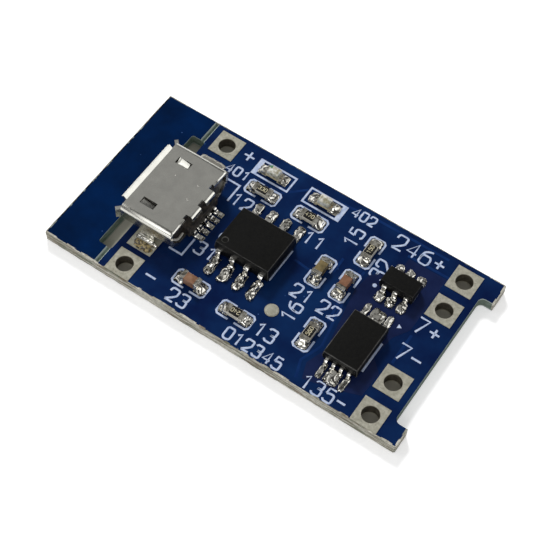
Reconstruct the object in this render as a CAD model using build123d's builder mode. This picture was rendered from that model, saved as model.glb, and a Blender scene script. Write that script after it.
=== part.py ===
from build123d import *
import os

# Charger board for one lithium cell, fed through a micro USB socket.
# +X runs from the socket end to the output end, +Y to the far long side, +Z up.
# The origin is the centre of the board's outline, level with the faces it rests on.
os.makedirs("parts", exist_ok=True)

# Board: glass-epoxy laminate with a break-off strip scored off at the socket end
board_length = 31.25
board_width = 16.0
board_thickness = 1.0
strip_width = 4.75
score_width = 0.4
score_depth = 0.28
slot_width = 1.25
slot_corner = 0.2
slot_from_end = 4.4
slot_from_near_side = 1.6
slot_from_far_side = 2.15
notch_depth = 1.07
notch_from_near_side = 1.63
notch_from_far_side = 1.9
notch_fillet = 0.45

# Tinned copper lands on both faces, and the six plated wire holes
land_thickness = 0.05
terminal_size = 2.2
terminal_bore = 1.4
plating = 0.16
input_terminal_from_end = 6.65
output_terminal_from_end = 2.72
input_positive_from_side = 1.46
output_positive_from_side = 1.51
positive_spacing = 3.02
negative_spacing = 3.08
test_pad_x = 2.36
test_pad_y = -3.88
test_pad_size = 1.1

# White print outlines
print_thickness = 0.02
print_line = 0.16
frame_end_room = 0.04
frame_side_room = 0.115
frame_corner = 0.23
frame_gap = 0.55
led_bar_width = 0.42
led_bar_gap = 0.005
led_frame_side_room = 0.205
bracket_behind_shell = 0.65
bracket_near_y = -3.78
bracket_far_y = 3.96
bracket_arm_x = 1.2
bracket_arm_y = 1.7
charger_line_length = 3.2
charger_line_inset = 0.1
charger_notch_radius = 0.5
charger_notch_y = -0.4
charger_notch_start = 100
charger_notch_sweep = 160
protection_line_length = 0.8
switch_line_length = 2.8
protection_dot_size = 0.34
protection_dot_out = 0.3
switch_mark_size = 0.22
switch_mark_out = 0.28

# Micro USB socket: folded sheet shell, wide side up, on the board's top face
usb_front_from_end = 4.33
usb_y = -0.45
mouth_width = 6.9
mouth_height = 1.85
mouth_floor_width = 5.4
mouth_side_height = 1.0
mouth_corner = 0.2
shell_sheet = 0.3
shell_length = 4.7
lip_reach = 0.45
lip_rise = 0.35
top_lip_width = 5.85
bottom_lip_width = 4.6
side_lip_height = 1.0
latch_window_length = 1.25
latch_window_width = 0.62
latch_window_spacing = 4.5
latch_window_from_front = 0.95
latch_flap_sheet = 0.15
latch_flap_drop = 0.35
latch_flap_root = 0.3
latch_flap_gap = 0.06
rear_tab_width = 1.15
rear_tab_spacing = 1.75
rear_tab_sheet = 0.18
rear_tab_reach = 0.4
rear_tab_drop = 0.55
rear_relief_width = 0.45
rear_relief_depth = 0.22
seam_gap = 0.08
leg_width = 1.3
leg_bend = 0.15
leg_from_front = 2.4
leg_foot = 0.4
leg_land_length = 2.17
leg_land_y = -0.3
leg_land_reach = 5.03
leg_land_inner = 3.3

# Socket insulator and its five contacts
contact_count = 5
contact_pitch = 0.65
contact_width = 0.3
contact_sheet = 0.15
contact_bend = 0.07
contact_from_tip = 0.15
contact_drop_from_front = 0.5
contact_drop_run = 0.7
tongue_width = 3.9
tongue_thickness = 0.62
tongue_underside = 1.2
tongue_from_front = 0.4
insulator_depth = 1.6
insulator_from_rear = 0.2
insulator_heel_width = 3.7
insulator_heel_height = 1.25
insulator_heel_reach = 0.35
tail_reach = 1.15
tail_exit_height = 0.5
tail_land_width = 0.42
tail_land_length = 1.2
tail_land_beyond = 0.1

# Charger chip, four gull-wing leads a side at 1.27
charger_row_count = 4
charger_x = -1.6
charger_y = -0.25
charger_length = 4.9
charger_width = 3.9
charger_height = 1.45
charger_span = 6.0
charger_pitch = 1.27
charger_lead_width = 0.42
charger_lead_sheet = 0.2
charger_foot = 0.65
charger_land_width = 0.62
charger_land_outer = 3.67
charger_land_inner = 2.2
dimple_size = 0.5
dimple_depth = 0.06
dimple_inset = 0.6

# Cell protection chip, three gull-wing leads a side at 0.95
protection_row_count = 3
protection_x = 9.25
protection_y = 3.15
protection_length = 2.9
protection_width = 1.6
protection_height = 1.05
protection_span = 2.8
protection_pitch = 0.95
protection_lead_width = 0.38
protection_lead_sheet = 0.15
protection_foot = 0.4
protection_land_width = 0.58
protection_land_outer = 1.76
protection_land_inner = 0.95

# Dual switch chip, four gull-wing leads a side at 0.65, the middle pairs on shared lands
switch_row_count = 4
switch_x = 9.08
switch_y = -2.95
switch_length = 3.0
switch_width = 4.4
switch_height = 1.0
switch_span = 6.4
switch_pitch = 0.65
switch_lead_width = 0.26
switch_lead_sheet = 0.13
switch_foot = 0.6
switch_land_width = 0.42
switch_land_outer = 3.6
switch_land_inner = 2.45

# Moulded chip bodies
body_standoff = 0.1
body_draft = 7
lead_bend = 0.06
lead_embed = 0.25
lead_lean = 0.05

# Resistors, capacitors and lamps of the 1.6 x 0.8 size
chip_part_length = 1.6
chip_part_width = 0.8
resistor_height = 0.45
capacitor_height = 0.8
led_base_height = 0.25
led_lens_height = 0.4
led_lens_length = 1.1
led_lens_draft = 6
cap_sheet = 0.04
cap_length = 0.34
coat_thickness = 0.03
coat_length = 0.86
chip_land_length = 0.8
chip_land_width = 0.9
chip_land_outer = 1.3
led_cap_length = 0.24
led_notch_radius = 0.18

# Solder
chip_part_solder_height = 0.34
lead_solder_height = 0.2
switch_solder_height = 0.16
tail_solder_height = 0.16
leg_solder_height = 0.24
solder_slope = 42

resistor_places = {
    "resistor_1": (0.22, 4.51, 0),
    "resistor_2": (-4.12, 4.46, 0),
    "resistor_3": (0.38, -5.72, 0),
    "resistor_5": (5.67, 4.59, 90),
    "resistor_6": (5.75, -3.98, 90),
}
capacitor_places = {
    "capacitor_1": (3.49, 1.04, 90),
    "capacitor_2": (5.67, 1.0, 90),
    "capacitor_3": (-3.88, -5.43, 0),
}
led_places = {
    "led_1": (-4.3, 6.34, 0),
    "led_2": (0.44, 6.34, 180),
}

# Levels and places that follow from the sizes above
board_bottom = land_thickness
board_top = board_bottom + board_thickness
land_top = board_top + land_thickness
end_x = board_length / 2
side_y = board_width / 2
score_x = strip_width - end_x
input_x = input_terminal_from_end - end_x
output_x = end_x - output_terminal_from_end
edge_terminal_y = terminal_size / 2 - side_y
output_positive_y = side_y - output_positive_from_side
notch_length = board_width - notch_from_near_side - notch_from_far_side
notch_y = (notch_from_near_side - notch_from_far_side) / 2
slot_length = board_width - slot_from_near_side - slot_from_far_side
slot_y = (slot_from_near_side - slot_from_far_side) / 2
usb_front_x = usb_front_from_end - end_x
usb_rear_x = usb_front_x + shell_length
shell_width = mouth_width + 2 * shell_sheet
shell_height = mouth_height + 2 * shell_sheet
shell_top = board_top + shell_height
leg_x = usb_front_x + leg_from_front

terminal_places = {
    "input_positive_terminal": (input_x, side_y - input_positive_from_side),
    "input_negative_terminal": (input_x, edge_terminal_y),
    "output_positive_terminal": (output_x, output_positive_y),
    "battery_positive_terminal": (output_x, output_positive_y - positive_spacing),
    "battery_negative_terminal": (output_x, edge_terminal_y + negative_spacing),
    "output_negative_terminal": (output_x, edge_terminal_y),
}


def save(part, name):
    part.label = name
    export_step(part, f"parts/{name}.step")


def place_plane(place, level):
    """Plane at a level, centred on a part's place and turned with it."""
    x, y, turn = place
    return Plane(Location((x, y, level), (0, 0, turn)))


# The laminate: outline with the end notch, socket slot, wire holes and score lines
with BuildPart() as circuit_board:
    with BuildSketch(Plane.XY.offset(board_bottom)):
        Rectangle(board_length, board_width)
        with Locations((end_x, notch_y)):
            RectangleRounded(2 * notch_depth, notch_length, notch_fillet, mode=Mode.SUBTRACT)
        with Locations((slot_from_end - end_x, slot_y)):
            RectangleRounded(slot_width, slot_length, slot_corner, mode=Mode.SUBTRACT)
        with Locations(*terminal_places.values()):
            Circle(terminal_bore / 2 + plating, mode=Mode.SUBTRACT)
    extrude(amount=board_thickness)
    with BuildSketch(Plane.XZ.offset(-side_y)):
        for level, into in ((board_top, -1), (board_bottom, 1)):
            with BuildLine():
                Polyline(
                    (score_x - score_width / 2, level),
                    (score_x, level + into * score_depth),
                    (score_x + score_width / 2, level),
                    close=True,
                )
            make_face()
    extrude(amount=board_width, mode=Mode.SUBTRACT)
save(circuit_board.part, "circuit_board")

# Wire terminals: a square land on each face joined by the plated barrel
for name, place in terminal_places.items():
    with BuildPart() as terminal:
        with BuildSketch(Plane.XY, Plane.XY.offset(board_top)):
            with Locations(place):
                Rectangle(terminal_size, terminal_size)
        extrude(amount=land_thickness)
        with BuildSketch(Plane.XY.offset(board_bottom)):
            with Locations(place):
                Circle(terminal_bore / 2 + plating)
        extrude(amount=board_thickness)
        with BuildSketch():
            with Locations(place):
                Circle(terminal_bore / 2)
        extrude(amount=land_top, mode=Mode.SUBTRACT)
    save(terminal.part, name)

with BuildPart() as test_pad:
    with BuildSketch(Plane.XY.offset(board_top)):
        with Locations((test_pad_x, test_pad_y)):
            Circle(test_pad_size / 2)
    extrude(amount=land_thickness)
save(test_pad.part, "test_pad")


def row_offsets(count, pitch):
    """Places of a row's members either side of its middle."""
    return [(i - (count - 1) / 2) * pitch for i in range(count)]


def land_rows(xs, outer, inner):
    """Centres of the lands of a chip's two rows, first row towards -Y."""
    middle = (outer + inner) / 2
    return [(x, -middle) for x in xs] + [(x, middle) for x in xs]


charger_xs = row_offsets(charger_row_count, charger_pitch)
protection_xs = row_offsets(protection_row_count, protection_pitch)
switch_xs = row_offsets(switch_row_count, switch_pitch)
charger_lands = land_rows(charger_xs, charger_land_outer, charger_land_inner)
protection_lands = land_rows(protection_xs, protection_land_outer, protection_land_inner)
switch_end_lands = land_rows((switch_xs[0], switch_xs[-1]), switch_land_outer, switch_land_inner)
switch_middle_lands = land_rows((0,), switch_land_outer, switch_land_inner)
chip_part_places = [*resistor_places.values(), *capacitor_places.values(), *led_places.values()]
chip_land_x = chip_land_outer - chip_land_length / 2
chip_part_frame_length = 2 * (chip_land_outer + frame_end_room + print_line)
chip_part_frame_width = chip_land_width + 2 * (frame_side_room + print_line)
led_frame_length = 2 * (chip_land_outer + led_bar_gap + led_bar_width)
led_frame_width = chip_land_width + 2 * (led_frame_side_room + print_line)
tail_ys = [usb_y + offset for offset in row_offsets(contact_count, contact_pitch)]
tail_land_x = usb_rear_x + tail_reach + tail_land_beyond - tail_land_length / 2

with BuildSketch() as charger_land_sketch:
    with Locations((charger_x, charger_y)):
        with Locations(*charger_lands):
            Rectangle(charger_land_width, charger_land_outer - charger_land_inner)
with BuildSketch() as protection_land_sketch:
    with Locations((protection_x, protection_y)):
        with Locations(*protection_lands):
            Rectangle(protection_land_width, protection_land_outer - protection_land_inner)
with BuildSketch() as switch_land_sketch:
    with Locations((switch_x, switch_y)):
        with Locations(*switch_end_lands):
            Rectangle(switch_land_width, switch_land_outer - switch_land_inner)
        with Locations(*switch_middle_lands):
            Rectangle(switch_land_width + switch_pitch, switch_land_outer - switch_land_inner)
with BuildSketch() as chip_part_land_sketch:
    for x, y, turn in chip_part_places:
        with Locations(Location((x, y, 0), (0, 0, turn))):
            with Locations((-chip_land_x, 0), (chip_land_x, 0)):
                Rectangle(chip_land_length, chip_land_width)
with BuildSketch() as tail_land_sketch:
    with Locations(*[(tail_land_x, y) for y in tail_ys]):
        Rectangle(tail_land_length, tail_land_width)
with BuildSketch() as leg_land_sketch:
    leg_land_middle = (leg_land_reach + leg_land_inner) / 2
    with Locations((leg_x, leg_land_y - leg_land_middle), (leg_x, leg_land_y + leg_land_middle)):
        Rectangle(leg_land_length, leg_land_reach - leg_land_inner)

# Tinned lands under every soldered foot and end cap
with BuildPart() as component_lands:
    with BuildSketch(Plane.XY.offset(board_top)):
        add(charger_land_sketch.sketch)
        add(protection_land_sketch.sketch)
        add(switch_land_sketch.sketch)
        add(chip_part_land_sketch.sketch)
        add(tail_land_sketch.sketch)
        add(leg_land_sketch.sketch)
    extrude(amount=land_thickness)
save(component_lands.part, "component_lands")

# Lines printed beside the chips and behind the socket, each as its list of points
bracket_x = usb_rear_x + bracket_behind_shell
charger_line_x = charger_x + charger_length / 2 - charger_line_inset
charger_notch_x = charger_x - charger_length / 2
protection_line_x = protection_x + protection_length / 2 - print_line
switch_line_x = switch_x + switch_length / 2
printed_lines = (
    (
        (bracket_x - bracket_arm_x, bracket_near_y),
        (bracket_x, bracket_near_y),
        (bracket_x, bracket_near_y + bracket_arm_y),
    ),
    (
        (bracket_x - bracket_arm_x, bracket_far_y),
        (bracket_x, bracket_far_y),
        (bracket_x, bracket_far_y - bracket_arm_y),
    ),
    (
        (charger_line_x, charger_y - charger_line_length / 2),
        (charger_line_x, charger_y + charger_line_length / 2),
    ),
    (
        (protection_line_x, protection_y - protection_line_length / 2),
        (protection_line_x, protection_y + protection_line_length / 2),
    ),
    (
        (switch_line_x, switch_y - switch_line_length / 2),
        (switch_line_x, switch_y + switch_line_length / 2),
    ),
)

# Frame printed round a small part: cut corners, and a gap in the middle of each long side
with BuildSketch() as chip_part_frame:
    Rectangle(chip_part_frame_length, chip_part_frame_width)
    chamfer(chip_part_frame.vertices(), frame_corner)
    offset(amount=-print_line, mode=Mode.SUBTRACT)
    Rectangle(frame_gap, chip_part_frame_width, mode=Mode.SUBTRACT)

# Printed outlines round the small parts, and the marks of the chips and the socket
with BuildPart() as printed_outlines:
    with BuildSketch(Plane.XY.offset(board_top)):
        for x, y, turn in [*resistor_places.values(), *capacitor_places.values()]:
            with Locations(Location((x, y, 0), (0, 0, turn))):
                add(chip_part_frame.sketch)
        for x, y, turn in led_places.values():
            with Locations(Location((x, y, 0), (0, 0, turn))):
                Rectangle(led_frame_length, led_frame_width)
                with Locations(((led_bar_width - print_line) / 2, 0)):
                    Rectangle(
                        led_frame_length - led_bar_width - print_line,
                        led_frame_width - 2 * print_line,
                        mode=Mode.SUBTRACT,
                    )
        for points in printed_lines:
            with BuildLine():
                Polyline(*points)
            trace(line_width=print_line)
        with BuildLine():
            CenterArc(
                (charger_notch_x, charger_y + charger_notch_y),
                charger_notch_radius,
                charger_notch_start,
                charger_notch_sweep,
            )
        trace(line_width=print_line)
        with Locations(
            (
                protection_x - protection_length / 2 - protection_dot_out,
                protection_y - protection_width / 2,
            )
        ):
            Circle(protection_dot_size / 2)
        with Locations(
            (switch_x + switch_length / 2 + switch_mark_out, switch_y + switch_land_outer - switch_mark_out)
        ):
            RegularPolygon(switch_mark_size, 3)
    extrude(amount=print_thickness)
save(printed_outlines.part, "printed_outlines")

# Section of the socket's mouth, wide side up, and of the sheet folded round it
with BuildSketch() as mouth_section:
    with BuildLine():
        Polyline(
            (-mouth_floor_width / 2, shell_sheet),
            (mouth_floor_width / 2, shell_sheet),
            (mouth_width / 2, shell_sheet + mouth_height - mouth_side_height),
            (mouth_width / 2, shell_sheet + mouth_height),
            (-mouth_width / 2, shell_sheet + mouth_height),
            (-mouth_width / 2, shell_sheet + mouth_height - mouth_side_height),
            close=True,
        )
    make_face()
    fillet(mouth_section.vertices(), mouth_corner)
with BuildSketch() as sheet_section:
    add(mouth_section.sketch)
    offset(amount=shell_sheet)
    add(mouth_section.sketch, mode=Mode.SUBTRACT)

mouth_plane = Plane(origin=(usb_front_x, usb_y, board_top), x_dir=(0, 1, 0), z_dir=(1, 0, 0))
side_lip_level = board_top + shell_sheet + mouth_height - mouth_side_height / 2
lips = (
    ((usb_y, shell_top), Vector(0, 0, 1), top_lip_width),
    ((usb_y, board_top), Vector(0, 0, -1), bottom_lip_width),
    ((usb_y - shell_width / 2, side_lip_level), Vector(0, -1, 0), side_lip_height),
    ((usb_y + shell_width / 2, side_lip_level), Vector(0, 1, 0), side_lip_height),
)
window_x = usb_front_x + latch_window_from_front + latch_window_length / 2
window_ys = (usb_y - latch_window_spacing / 2, usb_y + latch_window_spacing / 2)
tab_ys = (usb_y - rear_tab_spacing / 2, usb_y + rear_tab_spacing / 2)

# The shell: one folded sheet with flared lips, sprung latch flaps, rear tabs and two soldered legs
with BuildPart() as usb_shell:
    with BuildSketch(mouth_plane):
        add(sheet_section.sketch)
    extrude(amount=shell_length)
    for (y, level), outward, width in lips:
        forward = Vector(-1, 0, 0)
        with BuildSketch(Plane(origin=(usb_front_x, y, level), x_dir=forward, z_dir=forward.cross(outward))):
            with BuildLine():
                Polyline(
                    (0, -shell_sheet),
                    (lip_reach - lip_rise, -shell_sheet),
                    (lip_reach, lip_rise - shell_sheet),
                )
                offset(amount=shell_sheet, side=Side.LEFT)
            make_face()
        extrude(amount=width / 2, both=True)
    with BuildSketch(Plane.XY.offset(shell_top)):
        with Locations(*[(window_x, y) for y in window_ys]):
            Rectangle(latch_window_length, latch_window_width)
    extrude(amount=-shell_sheet, mode=Mode.SUBTRACT)
    for y in window_ys:
        flap_bend = (usb_front_x + latch_window_from_front, y, shell_top - shell_sheet)
        with BuildSketch(Plane(origin=flap_bend, x_dir=(1, 0, 0), z_dir=(0, -1, 0))):
            with BuildLine():
                Polyline(
                    (-latch_flap_root, 0),
                    (0, 0),
                    (latch_window_length - latch_flap_gap, -latch_flap_drop),
                )
                offset(amount=latch_flap_sheet, side=Side.LEFT)
            make_face()
        extrude(amount=latch_window_width / 2 - latch_flap_gap, both=True)
    for y in tab_ys:
        with BuildSketch(Plane(origin=(usb_rear_x, y, shell_top), x_dir=(1, 0, 0), z_dir=(0, -1, 0))):
            with BuildLine():
                FilletPolyline(
                    (0, 0),
                    (rear_tab_reach, 0),
                    (rear_tab_reach, -rear_tab_drop),
                    radius=rear_tab_reach - rear_tab_sheet / 2,
                )
                offset(amount=rear_tab_sheet, side=Side.RIGHT)
            make_face()
        extrude(amount=rear_tab_width / 2, both=True)
    relief_out = (rear_tab_spacing + rear_tab_width + rear_relief_width) / 2
    with BuildSketch(Plane.XY.offset(shell_top)):
        with Locations((usb_rear_x, usb_y - relief_out), (usb_rear_x, usb_y + relief_out)):
            Rectangle(2 * rear_relief_depth, rear_relief_width)
    extrude(amount=-shell_sheet, mode=Mode.SUBTRACT)
    with BuildSketch(Plane.XY.offset(board_top)):
        with Locations((usb_front_x + shell_length / 2, usb_y)):
            Rectangle(shell_length + 2 * lip_reach, seam_gap)
    extrude(amount=shell_sheet, mode=Mode.SUBTRACT)
    for side in (-1, 1):
        foot_corner = (leg_x, usb_y + side * shell_width / 2, land_top)
        leg_rise = shell_height - mouth_side_height - land_thickness
        with BuildSketch(Plane(origin=foot_corner, x_dir=(0, side, 0), z_dir=(side, 0, 0))):
            with BuildLine():
                FilletPolyline((0, leg_rise), (0, shell_sheet), (leg_foot, shell_sheet), radius=leg_bend)
                offset(amount=shell_sheet, side=Side.RIGHT)
            make_face()
        extrude(amount=leg_width / 2, both=True)
save(usb_shell.part, "usb_shell")

# The insulator: moulded block in the shell, heel behind it and tongue in the mouth
block_rear_x = usb_rear_x - insulator_from_rear
block_front_x = block_rear_x - insulator_depth
heel_rear_x = usb_rear_x + insulator_heel_reach
tongue_tip_x = usb_front_x + tongue_from_front
tongue_level = board_top + tongue_underside
tail_exit_level = board_top + tail_exit_height
contact_top = land_top + contact_sheet
contact_drop_x = block_front_x + contact_drop_from_front


def contact(y):
    """One spring-hard strip: under the tongue, down through the block and out to its tail."""
    with BuildPart() as strip:
        with BuildSketch(Plane(origin=(0, y, 0), x_dir=(1, 0, 0), z_dir=(0, -1, 0))):
            with BuildLine():
                FilletPolyline(
                    (tongue_tip_x + contact_from_tip, tongue_level),
                    (contact_drop_x, tongue_level),
                    (contact_drop_x + contact_drop_run, tail_exit_level),
                    (heel_rear_x + contact_sheet, tail_exit_level),
                    (heel_rear_x + 2 * contact_sheet, contact_top),
                    (usb_rear_x + tail_reach, contact_top),
                    radius=contact_bend + contact_sheet,
                )
                offset(amount=contact_sheet, side=Side.RIGHT)
            make_face()
        extrude(amount=contact_width / 2, both=True)
    return strip.part


contacts = [contact(y) for y in tail_ys]
for number, part in enumerate(contacts, start=1):
    save(part, f"usb_contact_{number}")

with BuildPart() as usb_insulator:
    with BuildSketch(Plane(origin=(block_front_x, usb_y, board_top), x_dir=(0, 1, 0), z_dir=(1, 0, 0))):
        add(mouth_section.sketch)
    extrude(amount=insulator_depth)
    with BuildSketch(Plane.XY.offset(board_top + shell_sheet)):
        with Locations(((block_rear_x + heel_rear_x) / 2, usb_y)):
            Rectangle(heel_rear_x - block_rear_x, insulator_heel_width)
    extrude(amount=insulator_heel_height - shell_sheet)
    with BuildSketch(Plane.XY.offset(tongue_level)):
        with Locations(((tongue_tip_x + block_front_x) / 2, usb_y)):
            Rectangle(block_front_x - tongue_tip_x, tongue_width)
    extrude(amount=tongue_thickness)
    for part in contacts:
        add(part, mode=Mode.SUBTRACT)
save(usb_insulator.part, "usb_insulator")


def gull_wing_leads(chip, xs, half_body, height, half_span, foot, sheet, width):
    """Leads of one chip, first row towards -Y, numbered anticlockwise from its -X end."""
    chip_x, chip_y = chip
    shoulder = body_standoff + (height + sheet) / 2
    heel = half_span - foot
    leads = []
    for side in (-1, 1):
        for x in xs if side < 0 else reversed(xs):
            root = Plane(origin=(chip_x + x, chip_y, land_top), x_dir=(0, side, 0), z_dir=(side, 0, 0))
            with BuildPart() as lead:
                with BuildSketch(root):
                    with BuildLine():
                        FilletPolyline(
                            (half_body - lead_embed, shoulder),
                            (heel - lead_lean, shoulder),
                            (heel, sheet),
                            (half_span, sheet),
                            radius=lead_bend + sheet,
                        )
                        offset(amount=sheet, side=Side.RIGHT)
                    make_face()
                extrude(amount=width / 2, both=True)
            leads.append(lead.part)
    return leads


def chip_body(chip, length, width, height, leads):
    """Moulded body with drafted sides, closed round the roots of its leads."""
    with BuildPart() as body:
        with BuildSketch(Plane.XY.offset(land_top + body_standoff + height / 2)):
            with Locations(chip):
                Rectangle(length, width)
        extrude(amount=height / 2, both=True, taper=body_draft)
        for lead in leads:
            add(lead, mode=Mode.SUBTRACT)
    return body.part


charger_leads = gull_wing_leads(
    (charger_x, charger_y),
    charger_xs,
    charger_width / 2,
    charger_height,
    charger_span / 2,
    charger_foot,
    charger_lead_sheet,
    charger_lead_width,
)
protection_leads = gull_wing_leads(
    (protection_x, protection_y),
    protection_xs,
    protection_width / 2,
    protection_height,
    protection_span / 2,
    protection_foot,
    protection_lead_sheet,
    protection_lead_width,
)
switch_leads = gull_wing_leads(
    (switch_x, switch_y),
    switch_xs,
    switch_width / 2,
    switch_height,
    switch_span / 2,
    switch_foot,
    switch_lead_sheet,
    switch_lead_width,
)
for chip_name, leads in (
    ("charger_chip", charger_leads),
    ("protection_chip", protection_leads),
    ("switch_chip", switch_leads),
):
    for number, lead in enumerate(leads, start=1):
        save(lead, f"{chip_name}_lead_{number}")

# The charger chip's body has a round dimple beside its first lead
with BuildPart() as charger_chip_body:
    add(chip_body((charger_x, charger_y), charger_length, charger_width, charger_height, charger_leads))
    dimple_x = charger_x - charger_length / 2 + dimple_inset
    dimple_y = charger_y - charger_width / 2 + dimple_inset
    with BuildSketch(Plane.XY.offset(land_top + body_standoff + charger_height)):
        with Locations((dimple_x, dimple_y)):
            Circle(dimple_size / 2)
    extrude(amount=-dimple_depth, mode=Mode.SUBTRACT)
save(charger_chip_body.part, "charger_chip_body")
save(
    chip_body(
        (protection_x, protection_y),
        protection_length,
        protection_width,
        protection_height,
        protection_leads,
    ),
    "protection_chip_body",
)
save(
    chip_body((switch_x, switch_y), switch_length, switch_width, switch_height, switch_leads),
    "switch_chip_body",
)


def ceramic_block(place, width, height):
    """Ceramic of a resistor or capacitor, held off the lands by its end caps."""
    with BuildPart() as ceramic:
        with BuildSketch(place_plane(place, land_top + cap_sheet)):
            Rectangle(chip_part_length - 2 * cap_sheet, width)
        extrude(amount=height - 2 * cap_sheet)
    return ceramic.part


def end_caps(places, blocks, length, height):
    """Metal ends of a family of chip parts, fitted over their blocks."""
    with BuildPart() as caps:
        for place in places:
            with BuildSketch(place_plane(place, land_top)):
                cap_x = (chip_part_length - length) / 2
                with Locations((-cap_x, 0), (cap_x, 0)):
                    Rectangle(length, chip_part_width)
        extrude(amount=height)
        for block in blocks:
            add(block, mode=Mode.SUBTRACT)
    return caps.part


# Resistors: the caps fold over top, end and underside, and a dark coat lies between them
resistors = {
    name: ceramic_block(place, chip_part_width, resistor_height) for name, place in resistor_places.items()
}
for name, part in resistors.items():
    save(part, name)
resistor_caps = end_caps(resistor_places.values(), resistors.values(), cap_length, resistor_height)
save(resistor_caps, "resistor_end_caps")
with BuildPart() as resistor_coats:
    for place in resistor_places.values():
        with BuildSketch(place_plane(place, land_top + resistor_height - cap_sheet)):
            Rectangle(coat_length, chip_part_width - 2 * cap_sheet)
    extrude(amount=cap_sheet + coat_thickness)
save(resistor_coats.part, "resistor_coats")

# Capacitors: the caps wrap all sides of each end
capacitors = {
    name: ceramic_block(place, chip_part_width - 2 * cap_sheet, capacitor_height)
    for name, place in capacitor_places.items()
}
for name, part in capacitors.items():
    save(part, name)
capacitor_caps = end_caps(capacitor_places.values(), capacitors.values(), cap_length, capacitor_height)
save(capacitor_caps, "capacitor_end_caps")


def led_base(place):
    """Small laminate base with a half-round notch in each end."""
    with BuildPart() as base:
        with BuildSketch(place_plane(place, land_top + cap_sheet)):
            Rectangle(chip_part_length - 2 * cap_sheet, chip_part_width)
            with Locations((-chip_part_length / 2, 0), (chip_part_length / 2, 0)):
                Circle(led_notch_radius, mode=Mode.SUBTRACT)
        extrude(amount=led_base_height - 2 * cap_sheet)
    return base.part


def led_lens(place):
    """Clear resin block with drafted sides, cast on the base."""
    with BuildPart() as lens:
        with BuildSketch(place_plane(place, land_top + led_base_height - cap_sheet)):
            Rectangle(led_lens_length, chip_part_width)
        extrude(amount=led_lens_height + cap_sheet, taper=led_lens_draft)
    return lens.part


led_bases = {name: led_base(place) for name, place in led_places.items()}
led_lenses = {name: led_lens(place) for name, place in led_places.items()}
for name in led_places:
    save(led_bases[name], f"{name}_base")
    save(led_lenses[name], f"{name}_lens")
with BuildPart() as led_end_caps:
    add(end_caps(led_places.values(), led_bases.values(), led_cap_length, led_base_height))
    for place in led_places.values():
        with BuildSketch(place_plane(place, land_top)):
            with Locations((-chip_part_length / 2, 0), (chip_part_length / 2, 0)):
                Circle(led_notch_radius - cap_sheet)
    extrude(amount=led_base_height, mode=Mode.SUBTRACT)
save(led_end_caps.part, "led_end_caps")

# Room that the feet of the leads and contacts take in their solder, from the land's inner end to the toe
with BuildSketch() as foot_room:
    for chip, xs, width, toe, inner in (
        ((charger_x, charger_y), charger_xs, charger_lead_width, charger_span / 2, charger_land_inner),
        (
            (protection_x, protection_y),
            protection_xs,
            protection_lead_width,
            protection_span / 2,
            protection_land_inner,
        ),
        ((switch_x, switch_y), switch_xs, switch_lead_width, switch_span / 2, switch_land_inner),
    ):
        with Locations(chip):
            with Locations(*land_rows(xs, toe, inner)):
                Rectangle(width, toe - inner)
    tail_room = tail_land_length - tail_land_beyond
    tail_room_x = usb_rear_x + tail_reach - tail_room / 2
    with Locations(*[(tail_room_x, y) for y in tail_ys]):
        Rectangle(tail_room, contact_width)

# Solder: a sloping mound on each land, shaped round the foot or cap that it holds
with BuildPart() as solder_joints:
    for lands, height in (
        (charger_land_sketch, lead_solder_height),
        (protection_land_sketch, lead_solder_height),
        (switch_land_sketch, switch_solder_height),
        (chip_part_land_sketch, chip_part_solder_height),
        (tail_land_sketch, tail_solder_height),
        (leg_land_sketch, leg_solder_height),
    ):
        with BuildSketch(Plane.XY.offset(land_top)):
            add(lands.sketch)
        extrude(amount=height, taper=solder_slope)
    with BuildSketch(Plane.XY.offset(land_top)):
        add(foot_room.sketch)
    extrude(amount=lead_solder_height, mode=Mode.SUBTRACT)
    for part in [*resistors.values(), *capacitors.values(), *led_bases.values(), *led_lenses.values()]:
        add(part, mode=Mode.SUBTRACT)
    for part in [resistor_caps, capacitor_caps, led_end_caps.part, usb_shell.part]:
        add(part, mode=Mode.SUBTRACT)
save(solder_joints.part, "solder_joints")
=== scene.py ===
# A lithium cell's charger board, dressed round its solid model and set up for one studio view.
import math

import bpy
from mathutils import Matrix, Vector


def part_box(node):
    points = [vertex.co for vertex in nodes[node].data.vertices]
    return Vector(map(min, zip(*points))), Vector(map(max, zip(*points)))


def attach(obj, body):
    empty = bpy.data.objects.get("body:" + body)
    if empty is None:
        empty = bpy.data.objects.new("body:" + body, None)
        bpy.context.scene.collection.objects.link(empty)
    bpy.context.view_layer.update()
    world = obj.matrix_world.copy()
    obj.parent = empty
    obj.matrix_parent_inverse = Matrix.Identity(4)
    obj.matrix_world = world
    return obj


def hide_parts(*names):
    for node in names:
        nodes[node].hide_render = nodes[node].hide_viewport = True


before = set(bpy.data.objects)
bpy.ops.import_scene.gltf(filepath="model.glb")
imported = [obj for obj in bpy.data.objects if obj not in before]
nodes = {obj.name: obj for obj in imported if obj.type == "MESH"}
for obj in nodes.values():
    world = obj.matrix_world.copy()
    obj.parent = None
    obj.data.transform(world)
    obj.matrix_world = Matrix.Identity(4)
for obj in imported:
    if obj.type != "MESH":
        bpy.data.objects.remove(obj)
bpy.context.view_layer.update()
mm = 0.001
bpy.ops.object.select_all(action="DESELECT")

# Circuit board. Glass-epoxy laminate with a glossy blue solder mask on both faces, sawn from its panel and
# scored across so that the end strip can be broken off. The mask stops at every cut, where bare fibre shows.
board_low, board_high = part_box("circuit_board")
board_top = board_high.z
board_middle = (board_low.z + board_high.z) / 2
half_board = (board_high.z - board_low.z) / 2
mask_skin = 0.004 * mm
rim_deep = 0.16 * mm
rim_shallow = 0.03 * mm
strip_width = 4.75 * mm
score_x = board_low.x + strip_width
score_blur = 0.2 * mm
chipped_width = 0.09 * mm
dust_spacing = 1.3 * mm
speck_edge = 0.045
speck_core = 0.02
cut_roughness = 0.75
coat_roughness = 0.3


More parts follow.
